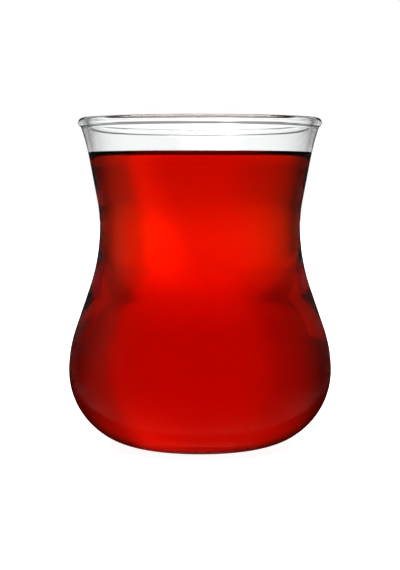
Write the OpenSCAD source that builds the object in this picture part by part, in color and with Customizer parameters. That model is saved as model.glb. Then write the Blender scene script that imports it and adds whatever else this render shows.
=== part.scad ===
// Tulip-shaped tea glass filled with black tea.
// A thin glass with a beaded rim, a mouth that flares from a drawn-in waist and a
// full round belly on a small flat base. Tea fills it to a little below the rim.
// Millimetres, z up, origin at the middle of the base.

/* [Whole glass] */
// Height from the table to the top of the rim
height = 73.5; // [60:0.1:95]
// Diameter over the outside of the rim bead
rim_d = 54.4; // [44:0.1:68]
// Outside diameter at the waist, the narrowest place
waist_d = 45.0; // [34:0.1:56]
// Height of the waist above the table
waist_z = 49.7; // [36:0.1:62]
// Outside diameter at the belly, the widest place
belly_d = 59.2; // [48:0.1:72]
// Height of the belly above the table
belly_z = 16.9; // [11:0.1:24]
// Diameter of the flat the glass stands on
base_d = 25.2; // [18:0.1:40]

/* [Side curves] */
// Radius of the outward curve just over the belly
shoulder_r = 29.5; // [15:0.5:50]
// Radius of the inward curve coming down from the waist
hollow_r = 43.5; // [20:0.5:70]
// Radius of the inward curve going up from the waist
flare_r = 29.5; // [10:0.5:60]
// Height of the stretch under the rim that turns further outwards
lip_h = 8.0; // [3:0.1:14]
// Radius of that outward turn
lip_r = 51.5; // [25:0.5:150]

/* [Glass thickness] */
// Thickness of the side wall
wall = 1.2; // [0.8:0.05:2.4]
// Thickness of the bottom at its middle
base_wall = 3.0; // [1.5:0.1:8]
// Diameter of the rounded rim bead
bead_d = 2.1; // [1.4:0.05:3.4]
// How far the bead stands out beyond the side wall
bead_proud = 0.28; // [0.1:0.01:0.6]

/* [Tea] */
// Drop from the top of the rim to the tea
tea_gap = 8.5; // [4:0.1:30]

/* [Hidden] */

rim_r = rim_d / 2;
waist_r = waist_d / 2;
belly_r = belly_d / 2;
base_r = base_d / 2;
bead_r = bead_d / 2;
tea_z = height - tea_gap;

// Middle of the bead's round section
bead_c = [rim_r - bead_r, height - bead_r];
// Outside face of the wall where it would reach the bead's mid height
mouth_r = rim_r - bead_proud;
lip_z = bead_c[1] - lip_h;
// The wall runs into the bead a quarter thinner than the bead
rim_wall = 0.75 * bead_d;

// The curves above the belly and below the waist are joined by a straight side.
// Where the drop between them is short both are eased down by the same share.
drop = waist_z - belly_z;
step_in = belly_r - waist_r;
room = (drop * drop + step_in * step_in) / (2 * max(step_in, 0.5));
ease = min(1, 0.97 * room / (shoulder_r + hollow_r));
upper_r = hollow_r * ease;
lower_r = shoulder_r * ease;
reach = [upper_r + lower_r - step_in, drop];
side_a = atan2(reach[1], reach[0]) - acos((upper_r + lower_r) / norm(reach));

// Angle of the mouth from upright, found by halving until it meets the rim
function flare_arc(a) = min(flare_r, 0.9 * (lip_z - waist_z) / max(sin(a), 0.02));
function lip_end(a) = asin(min(0.95, sin(a) + lip_h / lip_r));
function mouth_at(a) = waist_r + flare_arc(a) * (1 - cos(a))
    + (lip_z - waist_z - flare_arc(a) * sin(a)) * tan(a)
    + lip_r * (cos(a) - cos(lip_end(a)));
function find_flare(lo, hi, n) = let (m = (lo + hi) / 2)
    n == 0 ? m : mouth_at(m) < mouth_r ? find_flare(m, hi, n - 1) : find_flare(lo, m, n - 1);
flare_a = find_flare(-8, 35, 40);
lip_a = lip_end(flare_a);

// Each outline point is [radius, height, way the outside faces in degrees above level]
function bulge(c, r, a0, a1, n) =
    [for (i = [0:n]) let (a = a0 + (a1 - a0) * i / n) [c[0] + r * cos(a), c[1] + r * sin(a), a]];
function dip(c, r, a0, a1, n) =
    [for (i = [0:n]) let (a = a0 + (a1 - a0) * i / n) [c[0] - r * cos(a), c[1] - r * sin(a), a]];
function under(n) = [for (i = [0:n]) let (q = 90 * i / n - 90)
    [base_r + (belly_r - base_r) * cos(q), belly_z + belly_z * sin(q),
     atan2(sin(q) / belly_z, cos(q) / (belly_r - base_r))]];

lip_start = [waist_r + flare_arc(flare_a) * (1 - cos(flare_a))
    + (lip_z - waist_z - flare_arc(flare_a) * sin(flare_a)) * tan(flare_a), lip_z];
lip_c = lip_start + lip_r * [cos(flare_a), -sin(flare_a)];
function lip_at(f) = dip(lip_c, lip_r, -flare_a, -flare_a - (lip_a - flare_a) * f, 1)[1];

// Thickness grows towards the bottom and towards the bead
function share(x) = pow(max(0, min(1, x)), 2);
function thickness(z) = wall + (base_wall - wall) * share(1 - z / belly_z)
    + (rim_wall - wall) * share((z - lip_z) / lip_h);
function inside(p) = let (t = thickness(p[1])) [p[0] - t * cos(p[2]), p[1] - t * sin(p[2])];

// Where a face of the wall runs into the bead, as a share of the lip
function off_bead(p) = norm([p[0], p[1]] - bead_c) - bead_r;
function find_out(lo, hi, n) = let (m = (lo + hi) / 2)
    n == 0 ? m : off_bead(lip_at(m)) > 0 ? find_out(m, hi, n - 1) : find_out(lo, m, n - 1);
function find_in(lo, hi, n) = let (m = (lo + hi) / 2)
    n == 0 ? m : off_bead(inside(lip_at(m))) > 0 ? find_in(m, hi, n - 1) : find_in(lo, m, n - 1);
out_f = find_out(0, 1, 30);
in_f = find_in(0, 1, 30);

// Body of the wall from the base to the foot of the lip
body = concat(
    under(16),
    [for (i = [1:8]) bulge([belly_r - lower_r, belly_z], lower_r, 0, side_a, 8)[i]],
    dip([waist_r + upper_r, waist_z], upper_r, side_a, 0, 8),
    [for (i = [1:5]) dip([waist_r + flare_arc(flare_a), waist_z], flare_arc(flare_a), 0, -flare_a, 5)[i]],
    [[lip_start[0], lip_start[1], -flare_a]]
);
outer = concat(body, [for (i = [1:5]) lip_at(out_f * i / 5)]);
inner = [for (p = concat(body, [for (i = [1:5]) lip_at(in_f * i / 5)])) inside(p)];

// Round of the bead from the outside face of the wall over the top to the inside
function round_at(p) = atan2(p[1] - bead_c[1], p[0] - bead_c[0]);
bead_a0 = round_at(outer[len(outer) - 1]);
bead_a1 = let (a = round_at(inner[len(inner) - 1])) a < bead_a0 ? a + 360 : a;
bead_angles = concat(
    [for (i = [1:10]) bead_a0 + (90 - bead_a0) * i / 10],
    [for (i = [1:7]) 90 + (bead_a1 - 90) * i / 8]
);
bead = [for (a = bead_angles) bead_c + bead_r * [cos(a), sin(a)]];

// Inside radius at a height
function bore(z) = lookup(z, [for (p = inner) [p[1], p[0]]]);

module glass() {
    color([0.86, 0.92, 0.93, 0.45])
    rotate_extrude($fn = 144)
    polygon(concat(
        [[0, 0]],
        [for (p = outer) [p[0], p[1]]],
        bead,
        [for (i = [len(inner) - 1:-1:0]) inner[i]],
        [[0, base_wall]]
    ));
}

module tea() {
    color([0.62, 0.02, 0.0])
    rotate_extrude($fn = 144)
    polygon(concat(
        [[0, base_wall]],
        [for (p = inner) if (p[1] < tea_z - 0.01) p],
        [[bore(tea_z), tea_z], [0, tea_z]]
    ));
}

glass();
tea();
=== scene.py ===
import logging
import math
from dataclasses import dataclass, field
from enum import Enum
from typing import Any, Sequence

import bmesh
import bpy
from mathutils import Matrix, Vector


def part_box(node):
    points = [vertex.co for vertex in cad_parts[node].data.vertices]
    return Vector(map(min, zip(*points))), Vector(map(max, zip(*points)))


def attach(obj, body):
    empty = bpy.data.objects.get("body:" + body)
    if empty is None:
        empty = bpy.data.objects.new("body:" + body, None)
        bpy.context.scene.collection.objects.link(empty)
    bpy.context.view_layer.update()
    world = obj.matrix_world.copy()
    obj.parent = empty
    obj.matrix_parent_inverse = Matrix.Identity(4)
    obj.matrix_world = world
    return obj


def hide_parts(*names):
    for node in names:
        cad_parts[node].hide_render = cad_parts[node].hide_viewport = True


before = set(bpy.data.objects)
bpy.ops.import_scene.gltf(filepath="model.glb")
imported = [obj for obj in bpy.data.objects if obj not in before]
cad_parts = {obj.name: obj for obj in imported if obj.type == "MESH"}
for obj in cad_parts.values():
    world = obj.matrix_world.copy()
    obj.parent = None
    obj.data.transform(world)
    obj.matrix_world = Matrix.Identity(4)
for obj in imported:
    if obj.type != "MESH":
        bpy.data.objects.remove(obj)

LOG = logging.getLogger("tea_glass")
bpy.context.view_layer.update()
MM = 0.001
HALVINGS = 50  # steps of a search by halving

RZ = tuple[float, float]  # radius and height of a point
Faced = tuple[float, float, float]  # the same, and the way the outside faces there
Level = bpy.types.NodeSocket | float


class Face(Enum):
    """The two faces of the glass wall."""

    OUTSIDE = "outside"
    INSIDE = "inside"


def linear(hex_colour: str) -> tuple[float, float, float, float]:
    """Turn an sRGB hex colour into a linear one.

    Args:
        hex_colour: six hex digits, such as "f4f6f5".

    Returns:
        Linear red, green, blue and an alpha of one.
    """
    parts = [int(hex_colour[i:i + 2], 16) / 255 for i in (0, 2, 4)]
    r, g, b = (c / 12.92 if c <= 0.04045 else ((c + 0.055) / 1.055) ** 2.4 for c in parts)
    return r, g, b, 1.0


WHITE = linear("ffffff")
BLACK = linear("000000")


def add_node(tree: bpy.types.NodeTree, kind: str, settings: dict[str, Any] | None = None,
             inputs: dict[str | int, Any] | None = None) -> bpy.types.Node:
    """Add one node with its settings and its inputs.

    Args:
        tree: the node tree it goes in.
        kind: Blender's name for the node's type.
        settings: attributes to set on the node.
        inputs: by input name or number, either a value or an output socket to link from.

    Returns:
        The new node.
    """
    made = tree.nodes.new(kind)
    for name, value in (settings or {}).items():
        setattr(made, name, value)
    for name, value in (inputs or {}).items():
        if isinstance(value, bpy.types.NodeSocket):
            tree.links.new(value, made.inputs[name])
        else:
            made.inputs[name].default_value = value
    return made


def new_material(name: str) -> tuple[bpy.types.Material, bpy.types.NodeTree]:
    """Start an empty node material.

    Args:
        name: the material's name.

    Returns:
        The material and its node tree.
    """
    material = bpy.data.materials.new(name)
    material.use_nodes = True
    material.node_tree.nodes.clear()
    return material, material.node_tree


def spin(name: str, section: Sequence[RZ], turns: int, crease_deg: float) -> bpy.types.Object:
    """Turn a section round the upright axis into a closed skin.

    Args:
        name: name of the new object.
        section: radius and height of each point in metres, from the axis and back to it.
        turns: number of steps round the axis.
        crease_deg: edges that fold by more than this stay crisp.

    Returns:
        The new mesh object, smooth shaded.
    """
    work = bmesh.new()
    steps = [2 * math.pi * i / turns for i in range(turns)]
    rings: list[list[bmesh.types.BMVert]] = []
    for radius, height in section:
        if radius == 0.0:
            rings.append([work.verts.new((0.0, 0.0, height))])
            continue
        rings.append([work.verts.new((radius * math.cos(a), radius * math.sin(a), height)) for a in steps])
    for low, high in zip(rings, rings[1:]):
        for i in range(turns):
            j = (i + 1) % turns
            corners = [low[i % len(low)], low[j % len(low)], high[j % len(high)], high[i % len(high)]]
            work.faces.new(list(dict.fromkeys(corners)))
    bmesh.ops.recalc_face_normals(work, faces=work.faces)
    mesh = bpy.data.meshes.new(name)
    work.to_mesh(mesh)
    work.free()
    mesh.shade_smooth()
    mesh.set_sharp_from_angle(angle=math.radians(crease_deg))
    made = bpy.data.objects.new(name, mesh)
    bpy.context.scene.collection.objects.link(made)
    return made


def soften(line: list[RZ], corner: int, reach: float, steps: int) -> list[RZ]:
    """Round one corner of a line with a short curve.

    Args:
        line: points as radius and height.
        corner: index of the corner.
        reach: how far along the line the curve starts and ends from the corner.
        steps: number of steps in the curve.

    Returns:
        The line with the corner rounded.
    """
    def walk(step: int) -> tuple[RZ, int]:
        """Go along the line from the corner.

        Args:
            step: 1 or -1, the way along the line.

        Returns:
            The point at the reach and the index of the next point after it.
        """
        left, i = reach, corner
        while 0 < i + step < len(line) - 1 and math.dist(line[i], line[i + step]) < left:
            left -= math.dist(line[i], line[i + step])
            i += step
        a, b = line[i], line[i + step]
        share = left / math.dist(a, b)
        return (a[0] + (b[0] - a[0]) * share, a[1] + (b[1] - a[1]) * share), i + step

    start, before = walk(-1)
    end, after = walk(1)
    mid = line[corner]
    curve = []
    for n in range(steps + 1):
        t = n / steps
        curve.append(tuple(
            (1 - t) ** 2 * start[k] + 2 * t * (1 - t) * mid[k] + t * t * end[k] for k in (0, 1)))
    return line[:before + 1] + curve + line[after:]


@dataclass(frozen=True)
class PressedGlass:
    """Clear soda-lime glass, pressed and fire polished.

    Fire polishing melts the skin smooth, so it gives the eye bright crisp edges and no haze,
    and leaves the faint broad ripple that pressing puts in the wall.
    """

    name: str = "soda_lime_glass_fire_polished"
    tint_hex: str = "fdfefe"
    smudge_hex: str = "fafcfb"
    ior: float = 1.51
    roughness: tuple[float, float] = (0.0, 0.012)
    ripple_mm: float = 9.0
    ripple_height: float = 0.010
    smudge_mm: float = 14.0
    smudge_span: tuple[float, float] = (0.45, 0.75)

    def make(self, wet: bool = False) -> bpy.types.Material:
        """Build the material.

        Args:
            wet: true for the part of the inside that the drink touches. Glass against liquid
                hardly reflects, because the two bend light nearly alike.

        Returns:
            The material.
        """
        material, tree = new_material(self.name + ("_wet" if wet else ""))
        place = add_node(tree, "ShaderNodeTexCoord")
        smudge = add_node(tree, "ShaderNodeTexNoise", inputs={
            "Vector": place.outputs["Object"], "Scale": 1 / (self.smudge_mm * MM), "Detail": 3.0})
        haze = add_node(tree, "ShaderNodeMapRange", inputs={
            "Value": smudge.outputs["Fac"],
            "From Min": self.smudge_span[0], "From Max": self.smudge_span[1],
            "To Min": self.roughness[0], "To Max": self.roughness[1]})
        tint = add_node(tree, "ShaderNodeMix", {"data_type": "RGBA"}, {
            "Factor": smudge.outputs["Fac"], 6: linear(self.tint_hex), 7: linear(self.smudge_hex)})
        ripple = add_node(tree, "ShaderNodeTexNoise", inputs={
            "Vector": place.outputs["Object"], "Scale": 1 / (self.ripple_mm * MM), "Detail": 1.0})
        bump = add_node(tree, "ShaderNodeBump", inputs={
            "Height": ripple.outputs["Fac"], "Strength": self.ripple_height, "Distance": MM})
        skin = add_node(tree, "ShaderNodeBsdfPrincipled", inputs={
            "Base Color": tint.outputs[2], "Roughness": haze.outputs["Result"], "IOR": self.ior,
            "Transmission Weight": 1.0, "Normal": bump.outputs["Normal"],
            "Specular Tint": BLACK if wet else WHITE})
        add_node(tree, "ShaderNodeOutputMaterial", inputs={"Surface": skin.outputs["BSDF"]})
        return material


@dataclass(frozen=True)
class BrewedTea:
    """Strong black tea, strained clear.

    The dissolved colour soaks up blue within a couple of millimetres and green within ten, so
    thin edges look rosy, the body deep red, and the longest paths nearly black.
    """

    name: str = "black_tea_strained"
    ior: float = 1.333
    soak_per_mm: tuple[float, float, float] = (0.0165, 0.135, 0.250)
    film_mm: float = 5.0
    film_span: tuple[float, float] = (0.4, 0.7)
    roughness: tuple[float, float] = (0.0, 0.02)
    ripple_height: float = 0.012

    def make(self) -> bpy.types.Material:
        """Build the material.

        Returns:
            The material.
        """
        material, tree = new_material(self.name)
        place = add_node(tree, "ShaderNodeTexCoord")
        film = add_node(tree, "ShaderNodeTexNoise", inputs={
            "Vector": place.outputs["Object"], "Scale": 1 / (self.film_mm * MM), "Detail": 2.0})
        sheen = add_node(tree, "ShaderNodeMapRange", inputs={
            "Value": film.outputs["Fac"],
            "From Min": self.film_span[0], "From Max": self.film_span[1],
            "To Min": self.roughness[0], "To Max": self.roughness[1]})
        ripple = add_node(tree, "ShaderNodeBump", inputs={
            "Height": film.outputs["Fac"], "Strength": self.ripple_height, "Distance": MM})
        skin = add_node(tree, "ShaderNodeBsdfPrincipled", inputs={
            "Base Color": WHITE, "Roughness": sheen.outputs["Result"], "IOR": self.ior,
            "Transmission Weight": 1.0, "Normal": ripple.outputs["Normal"], "Specular Tint": BLACK})
        density = max(self.soak_per_mm) / MM
        colour = tuple(1 - soak / max(self.soak_per_mm) for soak in self.soak_per_mm)
        body = add_node(tree, "ShaderNodeVolumeAbsorption", inputs={
            "Color": (*colour, 1.0), "Density": density})
        add_node(tree, "ShaderNodeOutputMaterial", inputs={
            "Surface": skin.outputs["BSDF"], "Volume": body.outputs["Volume"]})
        return material


@dataclass
class Tulip:
    """The section of the glass. Sizes in metres."""

    height: float
    belly_r: float
    rim_r: float = 27.2 * MM
    waist_r: float = 22.5 * MM
    waist_z: float = 49.7 * MM
    belly_z: float = 16.9 * MM
    base_r: float = 12.6 * MM
    shoulder_r: float = 29.5 * MM
    hollow_r: float = 43.5 * MM
    flare_r: float = 29.5 * MM
    lip_h: float = 8.0 * MM
    lip_r: float = 51.5 * MM
    wall: float = 1.2 * MM
    base_wall: float = 3.0 * MM
    bead_r: float = 1.05 * MM
    bead_proud: float = 0.28 * MM
    rim_wall_share: float = 1.5  # wall at the bead, as a share of the bead's radius
    mouth_lean_deg: tuple[float, float] = (-8.0, 35.0)  # slopes between which the mouth is found
    under_steps: int = 80
    shoulder_steps: int = 32
    hollow_steps: int = 40
    flare_steps: int = 20
    lip_steps: int = 32

    def __post_init__(self) -> None:
        """Work out the joins between the curves."""
        self.bead_c = (self.rim_r - self.bead_r, self.height - self.bead_r)
        self.mouth_r = self.rim_r - self.bead_proud
        self.rim_wall = self.rim_wall_share * self.bead_r
        self.lip_z = self.bead_c[1] - self.lip_h
        across = self.hollow_r + self.shoulder_r - (self.belly_r - self.waist_r)
        drop = self.waist_z - self.belly_z
        self.side_a = math.atan2(drop, across) - math.acos(
            (self.hollow_r + self.shoulder_r) / math.hypot(across, drop))
        low, high = (math.radians(lean) for lean in self.mouth_lean_deg)
        for _ in range(HALVINGS):
            mid = (low + high) / 2
            low, high = (mid, high) if self.mouth_at(mid) < self.mouth_r else (low, mid)
        self.flare_a = low

    def lip_end(self, angle: float) -> float:
        """Slope of the mouth at the bead, for a slope below the lip."""
        return math.asin(math.sin(angle) + self.lip_h / self.lip_r)

    def lip_start(self, angle: float) -> float:
        """Radius where the lip starts, for a slope of the mouth."""
        straight = self.lip_z - self.waist_z - self.flare_r * math.sin(angle)
        return self.waist_r + self.flare_r * (1 - math.cos(angle)) + straight * math.tan(angle)

    def mouth_at(self, angle: float) -> float:
        """Radius reached at the bead's mid height, for a slope of the mouth."""
        return self.lip_start(angle) + self.lip_r * (math.cos(angle) - math.cos(self.lip_end(angle)))

    def thickness(self, z: float) -> float:
        """Thickness of the wall, which grows towards the bottom and the bead.

        Args:
            z: height.

        Returns:
            The thickness.
        """
        foot = max(0.0, min(1.0, 1 - z / self.belly_z)) ** 2
        top = max(0.0, min(1.0, (z - self.lip_z) / self.lip_h)) ** 2
        return self.wall + (self.base_wall - self.wall) * foot + (self.rim_wall - self.wall) * top

    @staticmethod
    def arc(centre: RZ, radius: float, start: float, end: float, count: int, dip: bool) -> list[Faced]:
        """One round stretch of the section.

        Args:
            centre: radius and height of the arc's centre.
            radius: the arc's own radius.
            start: way the outside faces at its start, in radians above level.
            end: the same at its end.
            count: number of steps.
            dip: true where the outside curves inwards.

        Returns:
            Points as radius, height and the way the outside faces.
        """
        way = -1 if dip else 1
        turned = [start + (end - start) * i / count for i in range(count + 1)]
        return [(centre[0] + way * radius * math.cos(a), centre[1] + way * radius * math.sin(a), a)
                for a in turned]

    def side(self) -> list[Faced]:
        """Draw the outside, from the edge of the flat base up to the bead's mid height.

        Returns:
            Points as radius, height and the way the outside faces.
        """
        wide = self.belly_r - self.base_r
        under = []
        for i in range(self.under_steps + 1):
            q = math.radians(90 * i / self.under_steps - 90)
            under.append((self.base_r + wide * math.cos(q), self.belly_z * (1 + math.sin(q)),
                          math.atan2(math.sin(q) / self.belly_z, math.cos(q) / wide)))
        over = self.arc((self.belly_r - self.shoulder_r, self.belly_z), self.shoulder_r, 0.0, self.side_a,
                        self.shoulder_steps, dip=False)
        hollow = self.arc((self.waist_r + self.hollow_r, self.waist_z), self.hollow_r, self.side_a, 0.0,
                          self.hollow_steps, dip=True)
        flare = self.arc((self.waist_r + self.flare_r, self.waist_z), self.flare_r, 0.0, -self.flare_a,
                         self.flare_steps, dip=True)
        lip_c = (self.lip_start(self.flare_a) + self.lip_r * math.cos(self.flare_a),
                 self.lip_z - self.lip_r * math.sin(self.flare_a))
        lip = self.arc(lip_c, self.lip_r, -self.flare_a, -self.lip_end(self.flare_a),
                       self.lip_steps, dip=True)
        return under + over[1:] + hollow + flare[1:] + lip

    def face(self, face: Face) -> list[RZ]:
        """One face of the wall, from the base up to where it runs into the bead.

        Args:
            face: which face.

        Returns:
            Points as radius and height.
        """
        points: list[RZ] = []
        for r, z, a in self.side():
            t = self.thickness(z) if face is Face.INSIDE else 0.0
            point = (r - t * math.cos(a), z - t * math.sin(a))
            if math.dist(point, self.bead_c) <= self.bead_r and z > self.lip_z:
                points.append(self.onto_bead(points[-1], point))
                break
            points.append(point)
        return points

    def onto_bead(self, clear: RZ, buried: RZ) -> RZ:
        """Find where a line meets the bead's round.

        Args:
            clear: the line's end outside the round.
            buried: its end inside the round.

        Returns:
            The point on the round.
        """
        low, high = 0.0, 1.0
        for _ in range(HALVINGS):
            mid = (low + high) / 2
            at = tuple(clear[k] + (buried[k] - clear[k]) * mid for k in (0, 1))
            low, high = (mid, high) if math.dist(at, self.bead_c) > self.bead_r else (low, mid)
        return at

    def bead(self, start: RZ, end: RZ, count: int) -> list[RZ]:
        """Draw the rim's round, from the outside face over the top to the inside face.

        Args:
            start: where the outside face meets it.
            end: where the inside face meets it.
            count: number of steps.

        Returns:
            Points as radius and height, without the two ends.
        """
        a0 = math.atan2(start[1] - self.bead_c[1], start[0] - self.bead_c[0])
        a1 = math.atan2(end[1] - self.bead_c[1], end[0] - self.bead_c[0]) + (
            2 * math.pi if end[1] < self.bead_c[1] else 0.0)
        turned = [a0 + (a1 - a0) * i / count for i in range(1, count)]
        return [(self.bead_c[0] + self.bead_r * math.cos(a), self.bead_c[1] + self.bead_r * math.sin(a))
                for a in turned]

    def bore(self, z: float) -> float:
        """Inside radius of the glass.

        Args:
            z: height.

        Returns:
            The radius.
        """
        line = self.face(Face.INSIDE)
        for (r0, z0), (r1, z1) in zip(line, line[1:]):
            if z0 <= z <= z1 and z1 > z0:
                return r0 + (r1 - r0) * (z - z0) / (z1 - z0)
        return line[-1][0]


@dataclass
class TeaGlass:
    """The empty glass, one closed skin."""

    form: Tulip
    wet_to: float
    finish: PressedGlass = field(default_factory=PressedGlass)
    turns: int = 192
    crease_deg: float = 50.0
    fillet: float = 0.45 * MM  # where the wall runs into the bead
    fillet_steps: int = 8
    bead_steps: int = 40
    base_rings: tuple[float, float] = (0.33, 0.66)  # shares of the base's radius
    upright: float = 0.9  # a face whose normal rises by more than this is floor, not wall

    def section(self) -> list[RZ]:
        """Draw the closed section, from the axis under the base round to the axis inside.

        Returns:
            Points as radius and height.
        """
        outside = self.form.face(Face.OUTSIDE)
        inside = self.form.face(Face.INSIDE)
        bead = self.form.bead(outside[-1], inside[-1], self.bead_steps)
        line = outside + bead + inside[::-1]
        line = soften(line, len(outside) + len(bead), self.fillet, self.fillet_steps)
        line = soften(line, len(outside) - 1, self.fillet, self.fillet_steps)
        rings = [self.form.base_r * share for share in self.base_rings]
        under = [(r, 0.0) for r in rings]
        floor = [(r, self.form.base_wall) for r in rings[::-1]]
        return [(0.0, 0.0)] + under + line + floor + [(0.0, self.form.base_wall)]

    def build(self) -> bpy.types.Object:
        """Make the glass, dress it and join it to the frame.

        Returns:
            The finished piece.
        """
        made = spin("tulip_glass", self.section(), self.turns, self.crease_deg)
        made.data.materials.append(self.finish.make())
        made.data.materials.append(self.finish.make(wet=True))
        for face in made.data.polygons:
            inwards = face.normal.x * face.center.x + face.normal.y * face.center.y < 0
            floor = face.normal.z > self.upright and face.center.z < 2 * self.form.base_wall
            face.material_index = int((inwards or floor) and face.center.z < self.wet_to)
        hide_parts("glass")
        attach(made, "root")
        return made


@dataclass
class Tea:
    """The drink. Its side reaches just into the wall, so no air shows between them."""

    form: Tulip
    level: float
    finish: BrewedTea = field(default_factory=BrewedTea)
    turns: int = 192
    into_wall: float = 0.12 * MM
    crease_deg: float = 40.0
    climb: float = 1.1 * MM  # how far the tea creeps up the glass
    climb_width: float = 1.25 * MM
    climb_reach: float = 12.0 * MM
    climb_steps: int = 40
    side_gap: float = 0.05 * MM  # keeps the side's last point clear of the top edge
    bottom_ring: float = 0.5  # share of the base's radius
    top_rings: tuple[float, float] = (0.4, 0.2)  # shares of the tea's radius

    def section(self) -> list[RZ]:
        """Draw the closed section, from the axis at the bottom round to the middle of the top.

        Returns:
            Points as radius and height.
        """
        top = self.level + self.climb
        inside = self.form.face(Face.INSIDE)
        side = [(r + self.into_wall, z - (self.into_wall if i == 0 else 0.0))
                for i, (r, z) in enumerate(inside) if z < top - self.side_gap]
        edge = self.form.bore(top) + self.into_wall
        bottom = self.form.base_wall - self.into_wall
        surface = []
        for i in range(1, self.climb_steps):
            inset = (i / self.climb_steps) ** 2 * self.climb_reach
            lift = self.climb * math.exp(-max(0.0, inset - self.into_wall) / self.climb_width)
            surface.append((edge - inset, self.level + lift))
        rings = [edge * share for share in self.top_rings]
        under = [(0.0, bottom), (self.form.base_r * self.bottom_ring, bottom)]
        middle = [(r, self.level) for r in rings] + [(0.0, self.level)]
        return under + side + [(edge, top)] + surface + middle

    def build(self) -> bpy.types.Object:
        """Make the tea, dress it and join it to the frame.

        Returns:
            The finished piece.
        """
        made = spin("black_tea", self.section(), self.turns, self.crease_deg)
        made.data.materials.append(self.finish.make())
        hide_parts("tea")
        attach(made, "root")
        return made


@dataclass(frozen=True)
class Glow:
    """A stretch of the set spread round one compass direction.

    The direction is turned from +Y towards +X. Its level is even within the inner angle and
    gone at the outer one.
    """

    towards_deg: float
    inner_deg: float
    outer_deg: float
    level: float = 1.0

    def add(self, tree: bpy.types.NodeTree, way: bpy.types.NodeSocket,
            onto: Level = 0.0) -> bpy.types.NodeSocket:
        """Add the glow's nodes.

        Args:
            tree: the node tree they go in.
            way: the place or direction it is looked up for.
            onto: a level it is added to.

        Returns:
            The socket that gives the sum.
        """
        angle = math.radians(self.towards_deg)
        axis = (math.sin(angle), math.cos(angle), 0.0)
        flat = add_node(tree, "ShaderNodeVectorMath", {"operation": "MULTIPLY"}, {
            0: way, 1: (1.0, 1.0, 0.0)})
        unit = add_node(tree, "ShaderNodeVectorMath", {"operation": "NORMALIZE"}, {0: flat.outputs[0]})
        along = add_node(tree, "ShaderNodeVectorMath", {"operation": "DOT_PRODUCT"}, {
            0: unit.outputs[0], 1: axis})
        off = add_node(tree, "ShaderNodeMath", {"operation": "ARCCOSINE"}, {0: along.outputs["Value"]})
        fade = add_node(tree, "ShaderNodeMapRange", {"interpolation_type": "SMOOTHSTEP"}, {
            "Value": off.outputs[0], "From Min": math.radians(self.inner_deg),
            "From Max": math.radians(self.outer_deg), "To Min": self.level, "To Max": 0.0})
        return add_node(tree, "ShaderNodeMath", {"operation": "ADD"}, {
            0: fade.outputs["Result"], 1: onto}).outputs[0]


@dataclass(frozen=True)
class Ramp:
    """A level that eases from start to end between two values."""

    low: float
    high: float
    start: float
    end: float

    def add(self, tree: bpy.types.NodeTree, value: bpy.types.NodeSocket,
            times: Level = 1.0) -> bpy.types.NodeSocket:
        """Add the ramp's nodes.

        Args:
            tree: the node tree they go in.
            value: what it is looked up for.
            times: a level it is multiplied by.

        Returns:
            The socket that gives the product.
        """
        eased = add_node(tree, "ShaderNodeMapRange", {"interpolation_type": "SMOOTHSTEP"}, {
            "Value": value, "From Min": self.low, "From Max": self.high, "To Min": self.start,
            "To Max": self.end})
        return add_node(tree, "ShaderNodeMath", {"operation": "MULTIPLY"}, {
            0: eased.outputs["Result"], 1: times}).outputs[0]


@dataclass(frozen=True)
class PaintedShadeGel:
    """Painted shade: a see-through sheet, graded by height, that shows only through the glass.

    It darkens what is seen through the lower and the upper part of the glass, so the middle of
    the drink glows.
    """

    name: str = "painted_shade_gel"
    low: Ramp = Ramp(0.016, 0.031, 0.69, 1.0)
    high: Ramp = Ramp(0.040, 0.065, 1.0, 0.70)

    def make(self) -> bpy.types.Material:
        """Build the material.

        Returns:
            The material.
        """
        material, tree = new_material(self.name)
        place = add_node(tree, "ShaderNodeNewGeometry").outputs["Position"]
        height = add_node(tree, "ShaderNodeSeparateXYZ", inputs={"Vector": place}).outputs["Z"]
        # painted shade: the view through the glass is darkened at the foot and at the head
        level = self.high.add(tree, height, self.low.add(tree, height))
        film = add_node(tree, "ShaderNodeBsdfTransparent", inputs={"Color": level})
        add_node(tree, "ShaderNodeOutputMaterial", inputs={"Surface": film.outputs[0]})
        return material


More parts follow.
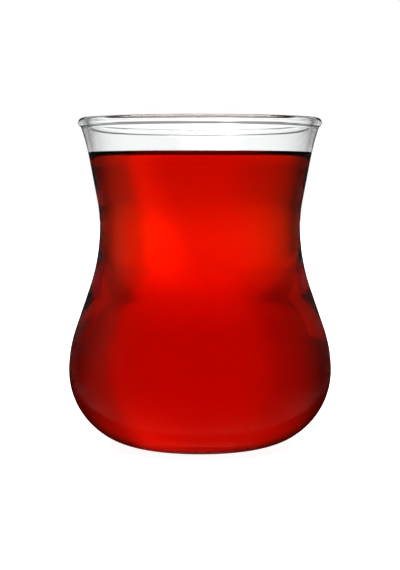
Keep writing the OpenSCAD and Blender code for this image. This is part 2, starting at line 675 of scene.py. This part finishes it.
@dataclass(frozen=True)
class PaintedStreakScreen:
    """A see-through screen that shows only through the glass, with a painted highlight streak on it.

    The streak is a glow that lights nothing and draws a brighter line down the drink. Off its core
    the screen paints shade a little at the foot and at the head.
    """

    name: str = "screen_with_painted_streak_and_shade"
    # core: where no shade is painted; core_low and core_high: painted shade at the foot and the head
    core: Glow = Glow(1.9, 2.5, 7.5)
    core_low: Ramp = Ramp(0.008, 0.026, 0.30, 0.0)
    core_high: Ramp = Ramp(0.060, 0.068, 0.0, 0.18)
    # painted highlight streak, leaning a little, faded in at the foot and turned down at the head
    strip: Glow = Glow(2.6, 0.0, 4.2, 0.92)
    strip_lean: float = 0.065  # metres to the side for each metre up
    strip_foot: Ramp = Ramp(0.006, 0.030, 0.0, 1.0)
    strip_head: Ramp = Ramp(0.040, 0.064, 1.0, 0.72)

    def clear(self, tree: bpy.types.NodeTree, place: bpy.types.NodeSocket,
              height: bpy.types.NodeSocket) -> bpy.types.NodeSocket:
        """Add the nodes of the see-through screen, which paints shade at its foot and head off the core.

        Args:
            tree: the node tree they go in.
            place: the place on the screen.
            height: its height.

        Returns:
            The screen's shader.
        """
        share = add_node(tree, "ShaderNodeMath", {"operation": "ADD"}, {
            0: self.core_low.add(tree, height), 1: self.core_high.add(tree, height)}).outputs[0]
        off_core = add_node(tree, "ShaderNodeMath", {"operation": "SUBTRACT"}, {
            0: 1.0, 1: self.core.add(tree, place)}).outputs[0]
        kept = add_node(tree, "ShaderNodeMath", {"operation": "MULTIPLY"}, {
            0: share, 1: off_core}).outputs[0]
        # painted shade at the foot and the head, off the core
        level = add_node(tree, "ShaderNodeMath", {"operation": "SUBTRACT"}, {0: 1.0, 1: kept}).outputs[0]
        return add_node(tree, "ShaderNodeBsdfTransparent", inputs={"Color": level}).outputs[0]

    def lamp(self, tree: bpy.types.NodeTree, place: bpy.types.NodeSocket,
             height: bpy.types.NodeSocket) -> bpy.types.NodeSocket:
        """Add the nodes of the strip lamp.

        Args:
            tree: the node tree they go in.
            place: the place on the screen.
            height: its height.

        Returns:
            The streak's shader.
        """
        aside = add_node(tree, "ShaderNodeMath", {"operation": "MULTIPLY"}, {
            0: height, 1: -self.strip_lean})
        lean = add_node(tree, "ShaderNodeCombineXYZ", inputs={"X": aside.outputs[0]})
        leant = add_node(tree, "ShaderNodeVectorMath", {"operation": "ADD"}, {
            0: place, 1: lean.outputs[0]})
        across = self.strip.add(tree, leant.outputs[0])
        level = self.strip_head.add(tree, height, self.strip_foot.add(tree, height, across))
        # painted highlight: a glowing streak seen only through the glass
        return add_node(tree, "ShaderNodeEmission", inputs={"Color": WHITE, "Strength": level}).outputs[0]

    def make(self) -> bpy.types.Material:
        """Build the material.

        Returns:
            The material.
        """
        material, tree = new_material(self.name)
        place = add_node(tree, "ShaderNodeNewGeometry").outputs["Position"]
        height = add_node(tree, "ShaderNodeSeparateXYZ", inputs={"Vector": place}).outputs["Z"]
        both = add_node(tree, "ShaderNodeAddShader", inputs={
            0: self.clear(tree, place, height), 1: self.lamp(tree, place, height)})
        add_node(tree, "ShaderNodeOutputMaterial", inputs={"Surface": both.outputs[0]})
        return material


@dataclass(frozen=True)
class MattBoard:
    """Pale display board, matt laminated and lit from behind.

    It looks white and even with no sheen, a touch greyer close to the glass, where its glow is
    turned down as a painted shade. Only the eye sees it: through the glass the room below shows instead.
    """

    name: str = "floor_matt_board"
    tone_hex: str = "b4b4b4"
    roughness: float = 0.9
    near: float = 0.04
    far: float = 0.14
    # glow near the glass and far off; the lower near value is painted shade round the glass
    glow: tuple[float, float] = (0.93, 1.0)

    def make(self) -> bpy.types.Material:
        """Build the material.

        Returns:
            The material.
        """
        material, tree = new_material(self.name)
        place = add_node(tree, "ShaderNodeNewGeometry").outputs["Position"]
        away = add_node(tree, "ShaderNodeVectorMath", {"operation": "LENGTH"}, {0: place})
        # painted shade: the board glows a touch less close to the glass
        glow_with_painted_shade = add_node(tree, "ShaderNodeMapRange", {"interpolation_type": "SMOOTHSTEP"}, {
            "Value": away.outputs["Value"], "From Min": self.near, "From Max": self.far,
            "To Min": self.glow[0], "To Max": self.glow[1]})
        skin = add_node(tree, "ShaderNodeBsdfPrincipled", inputs={
            "Base Color": linear(self.tone_hex), "Roughness": self.roughness, "Specular IOR Level": 0.0,
            "Emission Color": WHITE, "Emission Strength": glow_with_painted_shade.outputs["Result"]})
        path = add_node(tree, "ShaderNodeLightPath")
        clear = add_node(tree, "ShaderNodeBsdfTransparent")
        mix = add_node(tree, "ShaderNodeMixShader", inputs={
            0: path.outputs["Is Camera Ray"], 1: clear.outputs[0], 2: skin.outputs[0]})
        add_node(tree, "ShaderNodeOutputMaterial", inputs={"Surface": mix.outputs[0]})
        return material


@dataclass
class Ring:
    """An upright ring round the glass that only shows through the glass. Sizes in metres."""

    name: str
    radius: float
    finish: PaintedShadeGel | PaintedStreakScreen
    tall: float = 0.125
    steps: int = 96

    def build(self) -> bpy.types.Object:
        """Make the ring, dress it and put it in the set.

        Returns:
            The ring.
        """
        angles = [2 * math.pi * i / self.steps for i in range(self.steps)]
        corners = [(self.radius * math.cos(a), self.radius * math.sin(a), z) for z in (0.0, self.tall)
                   for a in angles]
        faces = [(i, (i + 1) % self.steps, self.steps + (i + 1) % self.steps, self.steps + i)
                 for i in range(self.steps)]
        mesh = bpy.data.meshes.new(self.name)
        mesh.from_pydata(corners, [], faces)
        mesh.materials.append(self.finish.make())
        made = bpy.data.objects.new(self.name, mesh)
        bpy.context.scene.collection.objects.link(made)
        made.visible_camera = made.visible_glossy = made.visible_diffuse = made.visible_shadow = False
        return made


@dataclass
class Floor:
    """The pale floor. Sizes in metres."""

    reach: float = 1.6
    finish: MattBoard = field(default_factory=MattBoard)

    def build(self) -> bpy.types.Object:
        """Make the floor, dress it and put it in the set.

        Returns:
            The floor.
        """
        far = self.reach
        mesh = bpy.data.meshes.new("floor")
        mesh.from_pydata([(-far, -far, 0), (far, -far, 0), (far, far, 0), (-far, far, 0)], [], [(0, 1, 2, 3)])
        mesh.materials.append(self.finish.make())
        made = bpy.data.objects.new("floor", mesh)
        bpy.context.scene.collection.objects.link(made)
        return made


@dataclass
class SoftLamp:
    """One large soft lamp overhead. Sizes in metres."""

    wide: float = 0.7
    deep: float = 0.9
    watts: float = 3.0
    place: tuple[float, float, float] = (0.0, 0.05, 0.9)

    def build(self) -> bpy.types.Object:
        """Hang the lamp.

        Returns:
            The lamp.
        """
        data = bpy.data.lights.new("overhead", "AREA")
        data.shape, data.size, data.size_y, data.energy = "RECTANGLE", self.wide, self.deep, self.watts
        made = bpy.data.objects.new("overhead", data)
        made.location = self.place
        bpy.context.scene.collection.objects.link(made)
        return made


@dataclass
class Room:
    """The room round the set: white to the eye, graded as seen through the glass.

    Each direction is graded by how far round it lies and by how far up it points, from -1
    straight down to 1 straight up. Off the glass only a bright patch overhead is reflected.
    """

    behind: tuple[Glow, ...] = (
        Glow(0.0, 3.0, 48.0, 1.73), Glow(-90.0, 3.0, 44.0, 0.95), Glow(135.0, 3.0, 48.0, 1.30),
        Glow(0.0, 60.0, 110.0, 0.15))
    base: float = 0.12
    corner: Glow = Glow(-45.0, 6.0, 24.0, 0.45)
    corner_low: Ramp = Ramp(-0.30, -0.24, 1.0, 0.0)
    table: Ramp = Ramp(-0.38, -0.335, 1.0, 0.0)
    table_level: float = 0.78
    pit: Ramp = Ramp(-0.75, -0.62, 0.42, 1.0)
    cove: Ramp = Ramp(0.28, 0.42, 1.0, 0.25)
    ceiling: Ramp = Ramp(0.62, 0.72, 0.0, 1.0)
    ceiling_level: float = 1.3
    overhead: Ramp = Ramp(0.70, 0.82, 0.0, 8.0)
    dim: float = 0.004

    def through(self, tree: bpy.types.NodeTree, way: bpy.types.NodeSocket,
                up: bpy.types.NodeSocket) -> bpy.types.NodeSocket:
        """Add the nodes for what shows through the glass.

        Args:
            tree: the node tree they go in.
            way: the direction looked in.
            up: how far up it points.

        Returns:
            The socket that gives the level.
        """
        spread: Level = self.base
        for glow in self.behind:
            spread = glow.add(tree, way, spread)
        lower = self.corner_low.add(tree, up, self.corner.add(tree, way))
        walls = add_node(tree, "ShaderNodeMath", {"operation": "ADD"}, {0: spread, 1: lower}).outputs[0]
        under = self.pit.add(tree, up, self.table_level)
        sides = add_node(tree, "ShaderNodeMix", {"data_type": "FLOAT"}, {
            0: self.table.add(tree, up), 2: walls, 3: under}).outputs[0]
        return add_node(tree, "ShaderNodeMath", {"operation": "ADD"}, {
            0: self.cove.add(tree, up, sides),
            1: self.ceiling.add(tree, up, self.ceiling_level)}).outputs[0]

    def build(self) -> bpy.types.World:
        """Build the room.

        Returns:
            The world that holds it.
        """
        room = bpy.data.worlds.new("room")
        bpy.context.scene.world = room
        room.use_nodes = True
        tree = room.node_tree
        tree.nodes.clear()
        way = add_node(tree, "ShaderNodeTexCoord").outputs["Generated"]
        up = add_node(tree, "ShaderNodeSeparateXYZ", inputs={"Vector": way}).outputs["Z"]
        mirrored = add_node(tree, "ShaderNodeMath", {"operation": "ADD"}, {
            0: self.overhead.add(tree, up), 1: self.dim}).outputs[0]
        path = add_node(tree, "ShaderNodeLightPath")
        level = add_node(tree, "ShaderNodeMapRange", inputs={
            "Value": path.outputs["Is Reflection Ray"], "To Min": self.through(tree, way, up),
            "To Max": mirrored})
        graded = add_node(tree, "ShaderNodeBackground", inputs={
            "Color": WHITE, "Strength": level.outputs["Result"]})
        white = add_node(tree, "ShaderNodeBackground", inputs={"Color": WHITE})
        mix = add_node(tree, "ShaderNodeMixShader", inputs={
            0: path.outputs["Is Camera Ray"], 1: graded.outputs[0], 2: white.outputs[0]})
        add_node(tree, "ShaderNodeOutputWorld", inputs={"Surface": mix.outputs[0]})
        return room


@dataclass
class Viewpoint:
    """The camera, a little below the rim and tipped down at the belly. Sizes in metres."""

    away: float = 0.350
    up: float = 0.06148
    dip_deg: float = 4.155
    seen_height: float = 0.12825  # height that the picture spans at the glass
    sensor_mm: float = 36.0
    clip: tuple[float, float] = (0.01, 10.0)

    def build(self) -> bpy.types.Object:
        """Set up the camera and look through it.

        Returns:
            The camera.
        """
        data = bpy.data.cameras.new("camera")
        data.sensor_width = self.sensor_mm
        data.lens = self.sensor_mm * self.away / self.seen_height
        data.clip_start, data.clip_end = self.clip
        made = bpy.data.objects.new("camera", data)
        made.location = (0.0, -self.away, self.up)
        made.rotation_euler = (math.radians(90 - self.dip_deg), 0.0, 0.0)
        bpy.context.scene.collection.objects.link(made)
        bpy.context.scene.camera = made
        return made


@dataclass
class Studio:
    """The plain pale set. Sizes in metres.

    The room and floor look white. A clear drink shows what stands behind it, so the room is
    graded as seen through the glass, and two rings that only show through it add the rest:
    painted shade low and high, and a painted highlight streak.
    """

    painted_shade_ring_r: float = 0.036
    painted_streak_ring_r: float = 0.080
    bounces: int = 24
    glossy_bounces: int = 8

    def build(self) -> None:
        """Put the whole set in place."""
        scene = bpy.context.scene
        scene.view_settings.view_transform = "Standard"
        scene.cycles.max_bounces = self.bounces
        scene.cycles.transmission_bounces = self.bounces
        scene.cycles.glossy_bounces = self.glossy_bounces
        Floor().build()
        # rings seen only through the glass: painted shade, then a painted highlight streak
        Ring("painted_shade_ring", self.painted_shade_ring_r, PaintedShadeGel()).build()
        Ring("painted_streak_ring", self.painted_streak_ring_r, PaintedStreakScreen()).build()
        SoftLamp().build()
        Room().build()
        Viewpoint().build()


def report(piece: bpy.types.Object) -> None:
    """Log one finished piece with its size in millimetres.

    Args:
        piece: the piece.
    """
    size = [round(side / MM, 1) for side in piece.dimensions]
    LOG.info("%s: %d faces, %s mm", piece.name, len(piece.data.polygons), size)


def main() -> None:
    """Build the glass, then the tea, then the set round them."""
    logging.basicConfig(level=logging.INFO, format="%(message)s")
    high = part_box("glass")[1]
    form = Tulip(height=high.z, belly_r=high.x)
    tea = Tea(form, level=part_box("tea")[1].z)
    report(TeaGlass(form, wet_to=tea.level + tea.climb).build())
    report(tea.build())
    Studio().build()


if __name__ == "__main__":
    main()
